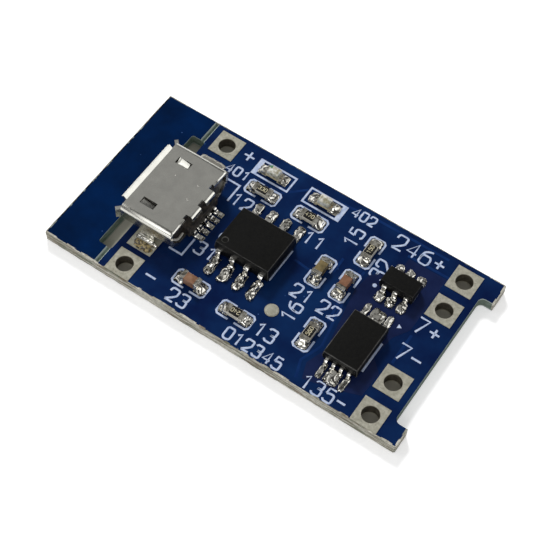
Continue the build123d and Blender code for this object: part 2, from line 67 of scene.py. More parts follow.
def linear(code):
    """Linear colour of an sRGB hex value."""
    parts = [int(code[i:i + 2], 16) / 255 for i in (1, 3, 5)]
    return [c / 12.92 if c <= 0.04045 else ((c + 0.055) / 1.055) ** 2.4 for c in parts] + [1]


def new_material(name, uniform):
    """A material whose shader sockets take these values."""
    material = bpy.data.materials.new(name)
    material.use_nodes = True
    for socket, value in uniform.items():
        material.node_tree.nodes["Principled BSDF"].inputs[socket].default_value = value
    return material


def add_node(owner, kind, inputs, feeds=None, output=None, **settings):
    """Adds a node. An input takes a value or another node's output, and feeds names a shader socket."""
    node = owner.node_tree.nodes.new(kind)
    for key, value in settings.items():
        setattr(node, key, value)
    for key, value in inputs.items():
        if isinstance(value, bpy.types.NodeSocket):
            owner.node_tree.links.new(value, node.inputs[key])
        else:
            node.inputs[key].default_value = value
    found = node.outputs[output] if output else next(s for s in node.outputs if s.enabled)
    if feeds:
        owner.node_tree.links.new(found, owner.node_tree.nodes["Principled BSDF"].inputs[feeds])
    return found


def clouds(owner, size_mm, low=0.3, high=0.7, detail=3, stretch=(1, 1, 1)):
    """Noise with features of one size, spread from 0 to 1 between two of its levels."""
    place = add_node(owner, "ShaderNodeTexCoord", {}, output="Object")
    place = add_node(owner, "ShaderNodeMapping", {"Vector": place, "Scale": stretch})
    noise = add_node(
        owner,
        "ShaderNodeTexNoise",
        {"Vector": place, "Scale": 1 / (size_mm * mm), "Detail": detail, "Roughness": 0.6},
    )
    return add_node(owner, "ShaderNodeMapRange", {"Value": noise, "From Min": low, "From Max": high})


def mottled(owner, size_mm, first, second, feeds=None, **cloud_settings):
    """Two colours, given as sRGB hex values, clouded into each other."""
    share = clouds(owner, size_mm, **cloud_settings)
    colours = {0: share, 6: linear(first), 7: linear(second)}
    return add_node(owner, "ShaderNodeMix", colours, feeds, data_type="RGBA")


def uneven(owner, size_mm, depth_mm, detail=3):
    """Bumps of one size and depth."""
    height = clouds(owner, size_mm, low=0.2, high=0.8, detail=detail)
    add_node(owner, "ShaderNodeBump", {"Height": height, "Distance": depth_mm * mm}, "Normal")


def object_axes(owner):
    """The X, Y and Z of a point, in metres."""
    place = add_node(owner, "ShaderNodeTexCoord", {}, output="Object")
    return add_node(owner, "ShaderNodeSeparateXYZ", {"Vector": place}).node.outputs


def distance(owner, value, middle):
    """How far a value lies from a middle one, either way."""
    offset = add_node(owner, "ShaderNodeMath", {0: value, 1: middle}, operation="SUBTRACT")
    return add_node(owner, "ShaderNodeMath", {0: offset}, operation="ABSOLUTE")


def coat(piece, material):
    """Gives a piece one material all over."""
    piece.data.materials.clear()
    piece.data.materials.append(material)


# Cured solder mask: a smooth coat, teal-blue on bare laminate and deeper over copper, cloudy with a few
# specks of dust. In the cuts the resin is grey-green, and paler along the rim where the saw has torn it.
mask = new_material("blue_solder_mask", {"IOR": 1.5, "Specular IOR Level": 0.05})
mask_axes = object_axes(mask)
mask_level = distance(mask, mask_axes["Z"], board_middle)
mask_share = add_node(
    mask, "ShaderNodeMath", {0: mask_level, 1: half_board - mask_skin}, operation="GREATER_THAN"
)
cut_rim = add_node(
    mask,
    "ShaderNodeMapRange",
    {"Value": mask_level, "From Min": half_board - rim_deep, "From Max": half_board - rim_shallow},
)
cut_deep = mottled(mask, 0.5, "#5b695e", "#828f86", stretch=(1, 1, 4))
cut_colour = add_node(
    mask, "ShaderNodeMix", {0: cut_rim, 6: cut_deep, 7: linear("#b9c4c0")}, data_type="RGBA"
)
past_score = add_node(
    mask,
    "ShaderNodeMapRange",
    {"Value": mask_axes["X"], "From Min": score_x - score_blur, "From Max": score_x + score_blur},
)
strip_blue = mottled(mask, 3.0, "#001637", "#00204c")
body_blue = mottled(mask, 3.0, "#071840", "#0d2a56")
mask_blue = add_node(
    mask, "ShaderNodeMix", {0: past_score, 6: strip_blue, 7: body_blue}, data_type="RGBA"
)
dust_place = add_node(mask, "ShaderNodeTexCoord", {}, output="Object")
dust_cells = add_node(mask, "ShaderNodeTexVoronoi", {"Vector": dust_place, "Scale": 1 / dust_spacing})
dust = add_node(
    mask, "ShaderNodeMapRange", {"Value": dust_cells, "From Min": speck_edge, "From Max": speck_core}
)
dusty_blue = add_node(
    mask, "ShaderNodeMix", {0: dust, 6: mask_blue, 7: linear("#3f5f96")}, data_type="RGBA"
)
# Along the strip's end the saw has chipped the mask: a dark line with a few pale chips
chip_line = mottled(mask, 0.45, "#101214", "#8f9a94", low=0.55, high=0.6, stretch=(0.3, 1, 1))
chipped = add_node(
    mask, "ShaderNodeMath", {0: mask_axes["X"], 1: board_low.x + chipped_width}, operation="LESS_THAN"
)
worn_blue = add_node(mask, "ShaderNodeMix", {0: chipped, 6: dusty_blue, 7: chip_line}, data_type="RGBA")
add_node(
    mask, "ShaderNodeMix", {0: mask_share, 6: cut_colour, 7: worn_blue}, "Base Color", data_type="RGBA"
)
mask_roughness = {"Value": mask_share, "To Min": cut_roughness, "To Max": coat_roughness}
add_node(mask, "ShaderNodeMapRange", mask_roughness, "Roughness")
uneven(mask, 0.35, 0.006)
coat(nodes["circuit_board"], mask)

# Sawn glass-epoxy: flat grey-beige layers of cloth with darker streaks between, dull and fibrous. The fibres
# are finer than a hair, so they are drawn coarser, at about 0.1 mm, to show.
fibre = new_material("sawn_glass_epoxy", {"Roughness": 0.8, "IOR": 1.5, "Specular IOR Level": 0.3})
fibre_streaks = clouds(fibre, 0.5, low=0.4, high=0.56, detail=4, stretch=(0.2, 0.2, 2.8))
fibre_pale = mottled(fibre, 0.25, "#aaa79a", "#d9d6cb")
fibre_dark = mottled(fibre, 0.9, "#66705f", "#7c6a58")
add_node(
    fibre, "ShaderNodeMix", {0: fibre_streaks, 6: fibre_dark, 7: fibre_pale}, "Base Color", data_type="RGBA"
)
uneven(fibre, 0.12, 0.03)

cut_depth = 0.13 * mm
torn_depth = 0.05 * mm
saw_wander = 0.1 * mm
torn_wander = 0.07 * mm
saw_grain = 0.8 * mm
saw_step = 0.12 * mm
saw_rows = 8
fewest_steps = 6
near_horn_y = -6.37 * mm
far_horn_y = 6.1 * mm


def finish_piece(piece, material, smooth=35):
    """Gives a piece its one material, slot and body, and smooths its creases up to an angle in degrees."""
    coat(piece, material)
    bpy.ops.object.select_all(action="DESELECT")
    piece.select_set(True)
    bpy.context.view_layer.objects.active = piece
    bpy.ops.object.shade_smooth_by_angle(angle=math.radians(smooth))
    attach(piece, "root")
    piece.select_set(False)


def apply_modifier(piece, kind, **settings):
    """Adds one modifier and applies it."""
    bpy.context.view_layer.objects.active = piece
    modifier = piece.modifiers.new(kind.lower(), kind)
    for key, value in settings.items():
        setattr(modifier, key, value)
    bpy.ops.object.modifier_apply(modifier=modifier.name)


def grain_texture(name, size, depth=3):
    """Cloud texture for uneven surfaces."""
    texture = bpy.data.textures.new(name, "CLOUDS")
    texture.noise_scale = size
    texture.noise_depth = depth
    return texture


def ripple(piece, texture, strength):
    """Moves a surface in and out by a cloud texture, in each place another way."""
    apply_modifier(
        piece, "DISPLACE", texture=texture, strength=strength, mid_level=0.5, texture_coords="GLOBAL"
    )


def keep_above(piece, level):
    """Lifts what reaches below a level up to it."""
    for vertex in piece.data.vertices:
        vertex.co.z = max(vertex.co.z, level)


saw_texture = grain_texture("saw_marks", saw_grain)


def sawn_side(name, start, end, depth, wander):
    """Ragged fibres standing out of one cut side, which faces right of the line from start to end."""
    run = Vector(end) - Vector(start)
    middle = (Vector(start) + Vector(end)) / 2
    steps = max(fewest_steps, round(run.length / saw_step))
    bpy.ops.mesh.primitive_grid_add(x_subdivisions=steps, y_subdivisions=saw_rows, size=1)
    piece = bpy.context.object
    piece.name = name
    piece.data.transform(
        Matrix.Translation((middle.x, middle.y, board_middle))
        @ Matrix.Rotation(math.atan2(run.y, run.x), 4, "Z")
        @ Matrix.Rotation(math.pi / 2, 4, "X")
        @ Matrix.Diagonal((run.length, 2 * half_board, 1, 1))
    )
    apply_modifier(piece, "SOLIDIFY", thickness=depth, offset=0)
    ripple(piece, saw_texture, wander)
    keep_above(piece, board_low.z)
    finish_piece(piece, fibre, smooth=60)


near_y, far_y = board_low.y, board_high.y
sawn_side("sawn_near_side", (board_low.x, near_y), (board_high.x, near_y), cut_depth, saw_wander)
sawn_side("sawn_far_side", (board_high.x, far_y), (board_low.x, far_y), torn_depth, torn_wander)
sawn_side("sawn_strip_end", (board_low.x, far_y), (board_low.x, near_y), torn_depth, torn_wander)
sawn_side("sawn_near_horn", (board_high.x, near_y), (board_high.x, near_horn_y), cut_depth, torn_wander)
sawn_side("sawn_far_horn", (board_high.x, far_horn_y), (board_high.x, far_y), cut_depth, torn_wander)

# Copper under the mask. Etched foil raises the mask a little: one pour round the output chips, and the
# tracks that run beside it and from the charger chip. The mask looks purple over the pour.
copper_mask = new_material("mask_over_copper", {"Roughness": 0.3, "IOR": 1.5, "Specular IOR Level": 0.1})
mottled(copper_mask, 1.6, "#0f1a3e", "#19254c", "Base Color")
uneven(copper_mask, 0.35, 0.006)
track_mask = new_material("mask_over_track", {"Roughness": 0.3, "IOR": 1.5, "Specular IOR Level": 0.1})
mottled(track_mask, 1.0, "#072455", "#0e2f63", "Base Color")
foil_step = 0.011 * mm
pour_outline = [
    (8.4, 5.85), (11.7, 5.9), (11.7, 0.6), (10.9, -0.73), (10.7, -2.9), (11.7, -3.8), (11.6, -6.0),
    (9.6, -6.75), (7.3, -7.3), (6.85, -6.0), (7.45, -4.3), (6.45, 1.2), (6.67, 2.9), (8.4, 4.3),
]
track_width = 0.22 * mm
track_lines = [
    [(6.25, 2.9), (6.05, 1.2), (7.05, -4.25), (6.4, -6.05), (6.9, -7.5)],
    [(5.95, 2.9), (5.7, 1.2), (6.35, -2.2)],
    [(1.3, 0.8), (3.3, 0.6), (4.3, 1.7), (4.3, 3.0)],
    [(8.2, 6.05), (11.9, 6.1)],
    [(-3.0, 5.2), (-1.2, 6.9), (4.8, 7.5), (11.0, 7.5)],
    [(12.0, 0.3), (12.0, -2.5)],
]


def curve_mesh(curve):
    """The mesh of a curve. The object that holds the curve is removed again."""
    holder = bpy.data.objects.new("curve_holder", curve)
    bpy.context.scene.collection.objects.link(holder)
    bpy.context.view_layer.update()
    mesh = bpy.data.meshes.new_from_object(holder.evaluated_get(bpy.context.evaluated_depsgraph_get()))
    bpy.data.objects.remove(holder)
    return mesh


def placed(mesh, x, y, level, turn=0, flatness=1, name="strokes"):
    """A piece of this mesh, turned about Z, flattened and moved to a place in mm and a level in metres."""
    mesh.transform(
        Matrix.Translation((x * mm, y * mm, level))
        @ Matrix.Rotation(math.radians(turn), 4, "Z")
        @ Matrix.Diagonal((1, 1, flatness, 1))
    )
    piece = bpy.data.objects.new(name, mesh)
    bpy.context.scene.collection.objects.link(piece)
    return piece


def stroke_mesh(strokes, line, roundness=1, steps=4):
    """Round lines of one width, each a kind of spline and its points in metres."""
    curve = bpy.data.curves.new("strokes", "CURVE")
    curve.dimensions = "3D"
    curve.bevel_depth = line / 2
    curve.bevel_resolution = roundness
    curve.resolution_u = steps
    curve.use_fill_caps = True
    for kind, points in strokes:
        spline = curve.splines.new(kind)
        spline.points.add(len(points) - 1)
        for point, place in zip(spline.points, points):
            point.co = (*Vector(place).to_3d(), 1)
        spline.order_u = 3
        spline.use_endpoint_u = True
    return curve_mesh(curve)


def join_pieces(pieces, name):
    """Makes one object of several."""
    bpy.ops.object.select_all(action="DESELECT")
    for piece in pieces:
        piece.select_set(True)
    bpy.context.view_layer.objects.active = pieces[0]
    bpy.ops.object.join()
    pieces[0].name = name
    return pieces[0]


foil = bpy.data.curves.new("foil", "CURVE")
foil.dimensions = "2D"
foil.fill_mode = "BOTH"
foil.extrude = foil_step
foil_edge = foil.splines.new("POLY")
foil_edge.points.add(len(pour_outline) - 1)
for point, (x, y) in zip(foil_edge.points, pour_outline):
    point.co = (x * mm, y * mm, 0, 1)
foil_edge.use_cyclic_u = True
pour = placed(curve_mesh(foil), 0, 0, board_top, name="copper_pour")
finish_piece(pour, copper_mask)
track_strokes = [("POLY", [(x * mm, y * mm) for x, y in line]) for line in track_lines]
track_flatness = 2 * foil_step / track_width
tracks = placed(
    stroke_mesh(track_strokes, track_width), 0, 0, board_top, flatness=track_flatness, name="copper_tracks"
)
finish_piece(tracks, track_mask)

# Lands and wire terminals. Copper levelled with hot air over molten tin, which leaves a dull, pitted skin.
# The barrels through the board are the same tin, with painted shade: brown and dark where they are deep.
barrel_rim = 0.03 * mm
barrel_deep = 0.1 * mm
tin = new_material("hot_air_levelled_tin", {"Metallic": 0.35, "Roughness": 0.5})
tin_skin = mottled(tin, 0.35, "#a3a08f", "#c8c5b6", detail=5)
tin_pits = clouds(tin, 0.13, low=0.6, high=0.74)
pitted_skin = add_node(
    tin, "ShaderNodeMix", {0: tin_pits, 6: tin_skin, 7: linear("#7d7a6f")}, data_type="RGBA"
)
# Painted shade in the barrels: the tin turns dark and brown from their rim down to their deep part.
tin_level = distance(tin, object_axes(tin)["Z"], board_middle)
barrel_shade_share = add_node(
    tin,
    "ShaderNodeMapRange",
    {"Value": tin_level, "From Min": half_board + barrel_rim, "From Max": half_board - barrel_deep},
)
barrel_painted_shade = mottled(tin, 0.4, "#3a362e", "#625c50")
add_node(
    tin, "ShaderNodeMix", {0: barrel_shade_share, 6: pitted_skin, 7: barrel_painted_shade}, "Base Color", data_type="RGBA"
)
uneven(tin, 0.3, 0.02, detail=5)
tinned_nodes = [name for name in nodes if name.endswith("_terminal")] + ["test_pad", "component_lands"]
for name in tinned_nodes:
    coat(nodes[name], tin)

# Test pad's tin. Molten tin was left standing on the round copper pad as a low drop when the rest was blown
# off, so it is domed, with the same dull skin.
pad_low, pad_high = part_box("test_pad")
pad_middle = (pad_low + pad_high) / 2
pad_drop_share = 0.47
pad_drop_flatness = 0.3
bpy.ops.mesh.primitive_uv_sphere_add(
    segments=32, ring_count=16, radius=pad_drop_share * (pad_high.x - pad_low.x)
)
pad_drop = bpy.context.object
pad_drop.name = "test_pad_tin"
pad_drop.data.transform(
    Matrix.Translation((pad_middle.x, pad_middle.y, pad_high.z))
    @ Matrix.Diagonal((1, 1, pad_drop_flatness, 1))
)
keep_above(pad_drop, pad_low.z)
finish_piece(pad_drop, tin, smooth=80)

# Print. White ink laid through a screen as frames round the small parts, marks beside the chips, plain
# numbers for the places and signs for the terminals. It is thin, so the blue greys it in blotches.
ink = new_material("screen_print_ink", {"Roughness": 0.55, "IOR": 1.45})
mottled(ink, 0.3, "#9fb0d2", "#cbd5ea", "Base Color")
uneven(ink, 0.15, 0.01)
coat(nodes["printed_outlines"], ink)

stroke_width = 0.17 * mm
ink_thickness = 0.02 * mm
glyph_width = 0.6
glyph_advance = 0.86
# Each sign is drawn in a box 0.6 wide and 1 high: straight strokes first, then curved ones
glyphs = {
    "0": ([], [[(0.3, 0), (0, 0), (0, 0.5), (0, 1), (0.3, 1), (0.6, 1), (0.6, 0.5), (0.6, 0), (0.3, 0)]]),
    "1": ([[(0.1, 0.78), (0.36, 1), (0.36, 0)]], []),
    "2": ([[(0, 0), (0.6, 0)]], [[(0, 0.7), (0, 1), (0.3, 1), (0.6, 1), (0.6, 0.7), (0.6, 0.45), (0, 0)]]),
    "3": (
        [],
        [
            [(0, 0.85), (0.05, 1), (0.3, 1), (0.58, 1), (0.58, 0.76), (0.58, 0.53), (0.25, 0.53)],
            [(0.25, 0.53), (0.6, 0.53), (0.6, 0.27), (0.6, 0), (0.3, 0), (0.05, 0), (0, 0.15)],
        ],
    ),
    "4": ([[(0.46, 0), (0.46, 1), (0, 0.3), (0.6, 0.3)]], []),
    "5": (
        [[(0.55, 1), (0.08, 1), (0.04, 0.56)]],
        [[(0.04, 0.56), (0.2, 0.64), (0.6, 0.66), (0.6, 0.32), (0.6, 0), (0.3, 0), (0.05, 0), (0, 0.15)]],
    ),
    "6": (
        [],
        [
            [(0.52, 0.97), (0.1, 0.9), (0, 0.5), (0, 0.3), (0, 0), (0.3, 0), (0.6, 0), (0.6, 0.3)],
            [(0.6, 0.3), (0.6, 0.6), (0.3, 0.6), (0, 0.6), (0, 0.3)],
        ],
    ),
    "7": ([[(0, 1), (0.6, 1), (0.2, 0)]], []),
    "+": ([[(0, 0.5), (0.6, 0.5)], [(0.3, 0.2), (0.3, 0.8)]], []),
    "-": ([[(0, 0.5), (0.6, 0.5)]], []),
}


def printed(text, centre, height, line=stroke_width, turn=0, level=board_top, thickness=ink_thickness):
    """Characters drawn with one even stroke and laid flat at a level."""
    width = (glyph_advance * (len(text) - 1) + glyph_width) * height
    strokes = []
    for i, sign in enumerate(text):
        for kind, lines in zip(("POLY", "NURBS"), glyphs[sign]):
            for points in lines:
                corners = [
                    ((x + i * glyph_advance) * height - width / 2, (y - 0.5) * height) for x, y in points
                ]
                strokes.append((kind, corners))
    return placed(stroke_mesh(strokes, line), *centre, level, turn, 2 * thickness / line)


wide_print = 1.35 * mm
place_print = 1.12 * mm
lamp_print = 0.85 * mm
sign_print = 1.5 * mm
end_print = 1.14 * mm
row_print = 1.0 * mm
# Each line of print is its characters, its middle in mm, its height and its turn in degrees
printed_signs = [
    ("246+", (8.85, 6.72), wide_print, 0),
    ("135-", (9.2, -7.32), end_print, 0),
    ("012345", (3.02, -7.3), row_print, 0),
    ("7+", (12.75, 1.35), wide_print, 0),
    ("7-", (12.75, -1.3), wide_print, 0),
    ("+", (-6.93, 6.75), sign_print, 0),
    ("-", (-6.72, -6.66), sign_print, 0),
    ("401", (-6.85, 4.98), lamp_print, 0),
    ("402", (3.6, 7.1), lamp_print, 0),
    ("12", (-4.95, 2.79), place_print, 0),
    ("11", (1.55, 3.06), place_print, 0),
    ("13", (3.05, -5.7), place_print, 0),
    ("15", (3.93, 5.08), place_print, 90),
    ("16", (3.62, -3.1), place_print, 90),
    ("21", (3.4, -1.37), place_print, 0),
    ("22", (5.8, -1.42), place_print, 0),
    ("23", (-3.95, -6.99), place_print, 0),
    ("31", (-4.65, -2.46), place_print, 0),
    ("32", (7.14, 3.77), place_print, 90),
]
marks = join_pieces(
    [printed(text, centre, height, turn=turn) for text, centre, height, turn in printed_signs],
    "printed_numbers",
)
finish_piece(marks, ink)

# Socket. One folded steel sheet, plated with nickel, satin from its tumbling; two sprung flaps are cut in its
# wide side, its lips are flared round the mouth and its two legs are soldered down. The grain of the tumbling
# is finer than 0.08 mm, at which it is drawn so that it shows.
nickel = new_material("satin_nickel_plate", {"Metallic": 1.0, "Roughness": 0.27})
mottled(nickel, 1.2, "#c9c8c1", "#d5d4cc", "Base Color", low=0.35)
uneven(nickel, 0.08, 0.002)
merge_gap = 0.0002 * mm
flat_angle = math.radians(1)
sharp_angle = math.radians(30)


def dressed(name, material, edge_mm, segments=2, edge_material=None):
    """Stands for one CAD node: its form, with doubles merged and sharp edges eased by a small round."""
    piece = bpy.data.objects.new("dressed_" + name, nodes[name].data.copy())
    bpy.context.scene.collection.objects.link(piece)
    bpy.ops.object.select_all(action="DESELECT")
    piece.select_set(True)
    bpy.context.view_layer.objects.active = piece
    bpy.ops.object.mode_set(mode="EDIT")
    bpy.ops.mesh.select_all(action="SELECT")
    bpy.ops.mesh.customdata_custom_splitnormals_clear()
    bpy.ops.mesh.remove_doubles(threshold=merge_gap)
    bpy.ops.mesh.dissolve_limited(angle_limit=flat_angle)
    bpy.ops.object.mode_set(mode="OBJECT")
    if edge_material:
        piece.data.materials.append(edge_material)
    apply_modifier(
        piece,
        "BEVEL",
        width=edge_mm * mm,
        segments=segments,
        limit_method="ANGLE",
        angle_limit=sharp_angle,
        use_clamp_overlap=True,
        material=1 if edge_material else -1,
    )
    apply_modifier(piece, "TRIANGULATE")
    eased = [face.material_index for face in piece.data.polygons]
    finish_piece(piece, material)
    if edge_material:
        piece.data.materials.append(edge_material)
        piece.data.polygons.foreach_set("material_index", eased)
    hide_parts(name)
    return piece


# Places in the shell: its middle, its rear rim beside the two tabs, and a flap on either side of the middle
usb_y = -0.45 * mm
shell_rear_x = -6.595 * mm
rim_round = 0.15 * mm
rim_stations = (1, 0.6, 0.3)
just_past_rim = 1.01
tabs_reach = (0.29 * mm, 1.91 * mm)
flap_offset = 2.25 * mm
flap_half_width = 0.27 * mm
flap_root_x = -10.345 * mm
flap_end_x = -9.1 * mm
flap_stations = (0, 0.12, 0.3, 0.5, 0.7, 0.85)
just_past_flap = 1.05
hair = 0.01 * mm
shell = dressed("usb_shell", nickel, 0.07, 3)
shell_top = max(v.co.z for v in nodes["usb_shell"].data.vertices if v.co.x > flap_end_x)
bpy.context.view_layer.objects.active = shell
bpy.ops.object.mode_set(mode="EDIT")
flap_cuts = [flap_root_x + station * (flap_end_x - flap_root_x) for station in flap_stations]
rim_cuts = [shell_rear_x - station * rim_round for station in rim_stations]
for cut_x in flap_cuts + rim_cuts:
    bpy.ops.mesh.select_all(action="SELECT")
    bpy.ops.mesh.bisect(plane_co=(cut_x, 0, 0), plane_no=(1, 0, 0))
bpy.ops.object.mode_set(mode="OBJECT")
# Shearing has rounded the wide side over at its rear edge, beside and between the two tabs
for vertex in shell.data.vertices:
    share = (vertex.co.x - shell_rear_x + rim_round) / rim_round
    beside_tabs = not tabs_reach[0] < abs(vertex.co.y - usb_y) < tabs_reach[1]
    if 0 < share < just_past_rim and beside_tabs and vertex.co.z > shell_top - rim_round:
        vertex.co.z -= rim_round * (1 - math.sqrt(max(0, 1 - share * share)))
# Plugs have pushed the flaps askew, the far one more, each with its near side lower. A flap dives below the
# wide side from its root to its end, so its depth tells its sheet from the wall round it.
flap_skin = 0.16 * mm
flap_dive = 0.3 * mm
flap_deepest = 0.9 * mm
flap_margin = 0.02 * mm
far_flap_raise = 0.13 * mm
far_flap_lift = 0.15 * mm
far_flap_draw = 0.16 * mm
far_flap_twist = math.tan(math.radians(33))
far_twist_run = 1 / 8
near_flap_drop = 0.06 * mm
near_flap_twist = math.tan(math.radians(11))
near_twist_run = 1 / 2
for vertex in shell.data.vertices:
    share = (vertex.co.x - flap_root_x) / (flap_end_x - flap_root_x)
    across = abs(vertex.co.y - usb_y) - flap_offset
    depth = shell_top - vertex.co.z + flap_margin
    in_sheet = flap_skin + flap_dive * share < depth < flap_deepest
    if 0 < share < just_past_flap and abs(across) < flap_half_width + hair and in_sheet:
        if vertex.co.y > usb_y:
            bent = min(1, share / far_twist_run)
            vertex.co.z += far_flap_raise * bent + far_flap_lift * share
            vertex.co.z += across * far_flap_twist * bent
            vertex.co.x -= far_flap_draw * share
        else:
            bent = min(1, share / near_twist_run)
            vertex.co.z -= near_flap_drop * share + across * near_flap_twist * bent
# The slots' sheared walls show bare steel, painted near-black: painted shade in the gaps of the slots
slot_steel_and_shade = new_material("sheared_steel_painted_shade", {"Metallic": 1.0, "Roughness": 0.5})
mottled(slot_steel_and_shade, 0.2, "#24221f", "#4a4743", "Base Color")
shell.data.materials.append(slot_steel_and_shade)
slot_side = 0.12 * mm
slot_before = 0.05 * mm
slot_past = 0.15 * mm
wall_depth = 0.32 * mm
wall_start = 0.005 * mm
for face in shell.data.polygons:
    in_slot = abs(abs(face.center.y - usb_y) - flap_offset) < flap_half_width + slot_side
    in_slot = in_slot and flap_root_x - slot_before < face.center.x < flap_end_x + slot_past
    in_wall = shell_top - wall_depth < face.center.z < shell_top - wall_start
    upright = abs(face.normal.z) < 0.5
    if in_slot and in_wall and upright:
        face.material_index = 1
# The flat faces are made whole again, so that the rounded edges don't shade them
bpy.context.view_layer.objects.active = shell
bpy.ops.object.mode_set(mode="EDIT")
bpy.ops.mesh.select_all(action="SELECT")
bpy.ops.mesh.dissolve_limited(angle_limit=flat_angle, delimit={"NORMAL", "MATERIAL", "SHARP"})
bpy.ops.object.mode_set(mode="OBJECT")
apply_modifier(shell, "WEIGHTED_NORMAL", keep_sharp=True)
apply_modifier(shell, "TRIANGULATE", keep_custom_normals=True)

# Rear lug. The near wall ends in a narrow tongue of the same sheet, which is bent in behind the insulator and
# holds it. Solder has wetted it, so it is dull and light beside the nickel.
lug_path = [
    (-6.6, -4.05, 2.9),
    (-6.6, -3.85, 2.65),
    (-6.6, -3.45, 2.12),
    (-6.64, -3.03, 1.89),
    (-6.68, -2.6, 1.9),
]
lug_thickness = 0.2 * mm
lug_points = [Vector(place) * mm for place in lug_path]
lug = placed(stroke_mesh([("NURBS", lug_points)], lug_thickness, 3, 12), 0, 0, 0, name="rear_lug")
dull_tin = new_material("dull_tinned_steel", {"Metallic": 0.3, "Roughness": 0.5})
mottled(dull_tin, 0.3, "#b5b2a8", "#dddad2", "Base Color")
finish_piece(lug, dull_tin, smooth=60)

# Spatter on the shell. Three beads of solder, thrown there by the iron, have set flat as they landed. They
# are pale and a little rough beside the nickel.
bead_tin = new_material("spattered_solder", {"Metallic": 1.0, "Roughness": 0.45})
mottled(bead_tin, 0.1, "#d8d5cc", "#efede6", "Base Color")
bead_places = ((-7.58, 0.73, 0.08), (-7.5, -0.74, 0.1), (-9.6, 0.55, 0.05))
bead_width = 0.8
bead_flatness = 0.2
beads = []
for x, y, radius in bead_places:
    bpy.ops.mesh.primitive_uv_sphere_add(segments=16, ring_count=8, radius=radius * mm)
    bead = bpy.context.object
    bead.data.transform(
        Matrix.Translation((x * mm, y * mm, shell_top)) @ Matrix.Diagonal((1, bead_width, bead_flatness, 1))
    )
    beads.append(bead)
finish_piece(join_pieces(beads, "solder_spatter"), bead_tin)

# Insulator of the socket. One black glass-filled moulding fills the rear of the shell and carries the
# contacts. The heat of soldering has browned it in patches.
insulator_black = new_material("glass_filled_moulding", {"Roughness": 0.45, "IOR": 1.55})
mottled(insulator_black, 0.45, "#0c0a08", "#4b4239", "Base Color", low=0.42, high=0.72)
uneven(insulator_black, 0.1, 0.01)
dressed("usb_insulator", insulator_black, 0.03)

# Contacts of the socket. Five bent strips lie in the insulator, their tails on the lands behind it. They and
# the chips' leads are plated with tin, which is bright, and uneven where solder has run over it.
bright_tin = new_material("bright_tin_plate", {"Metallic": 1.0, "Roughness": 0.16})
mottled(bright_tin, 0.25, "#bdbab2", "#e6e4de", "Base Color")
uneven(bright_tin, 0.35, 0.05, detail=0)
for number in range(1, 6):
    dressed(f"usb_contact_{number}", bright_tin, 0.02)

# Chips. Black epoxy moulded round the lead frame, with a fine grain from the mould, drawn at 0.07 mm to show.
# Their eased edges are painted grey: a painted highlight where light catches them, with some scuffing in it.
# Their tinned leads are bent out and down as gull wings onto the lands.
epoxy = new_material("moulded_black_epoxy", {"Roughness": 0.4, "IOR": 1.5, "Specular IOR Level": 0.25})
mottled(epoxy, 0.25, "#060606", "#0f0f0d", "Base Color", detail=5)
uneven(epoxy, 0.07, 0.01)
# Painted highlight with scuffs: the chips' eased edges get a grey material.
epoxy_edge_scuffs_and_highlight = new_material("epoxy_edge_scuffs_and_painted_highlight", {"Roughness": 0.6, "IOR": 1.5})
mottled(epoxy_edge_scuffs_and_highlight, 0.5, "#1b1b1a", "#5c5b57", "Base Color", low=0.35)
for chip, lead_count in (("charger_chip", 8), ("protection_chip", 6), ("switch_chip", 8)):
    dressed(f"{chip}_body", epoxy, 0.05, 3, edge_material=epoxy_edge_scuffs_and_highlight)
    for number in range(1, lead_count + 1):
        dressed(f"{chip}_lead_{number}", bright_tin, 0.03)

# Resistors. White ceramic with a dark glossy glaze over the film between metal ends, and a plain number
# printed on the glaze in cream. They are soldered down by their ends.
alumina = new_material("fired_alumina", {"Roughness": 0.5, "IOR": 1.7})
mottled(alumina, 0.2, "#cfcabb", "#e4e0d3", "Base Color")
glaze = new_material("black_overglaze", {"Roughness": 0.25, "IOR": 1.5})
mottled(glaze, 0.2, "#0c0c0e", "#1d1c1a", "Base Color")
uneven(glaze, 0.15, 0.006)
# Ends of the small parts: silver fired on the ceramic and tinned, dull where flux has cooked on it
fired_ends = new_material("tinned_fired_ends", {"Metallic": 1.0, "Roughness": 0.2})
mottled(fired_ends, 0.4, "#8b8677", "#e2dfd5", "Base Color")
uneven(fired_ends, 0.45, 0.1, detail=0)
for name in [n for n in nodes if n.startswith("resistor_") and n[-1].isdigit()]:
    dressed(name, alumina, 0.02)
dressed("resistor_coats", glaze, 0.03)
dressed("resistor_end_caps", fired_ends, 0.05, 3)

cream_ink = new_material("cream_marking_ink", {"Roughness": 0.6})
mottled(cream_ink, 0.15, "#b8ae8c", "#d6cfb2", "Base Color")
coat_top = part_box("resistor_coats")[1].z
coat_print = 0.31 * mm
coat_line = 0.055 * mm
coat_ink = 0.008 * mm
resistor_numbers = {
    "resistor_1": ("470", 0),
    "resistor_2": ("330", 0),
    "resistor_3": ("240", 180),
    "resistor_5": ("150", 90),
    "resistor_6": ("560", 90),
}


def box_centre(name):
    """Middle of a CAD node seen from above, in mm."""
    low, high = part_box(name)
    return ((low.x + high.x) / 2 / mm, (low.y + high.y) / 2 / mm)


codes = join_pieces(
    [
        printed(text, box_centre(name), coat_print, coat_line, turn, coat_top, coat_ink)
        for name, (text, turn) in resistor_numbers.items()
    ],
    "resistor_numbers",
)
finish_piece(codes, cream_ink)

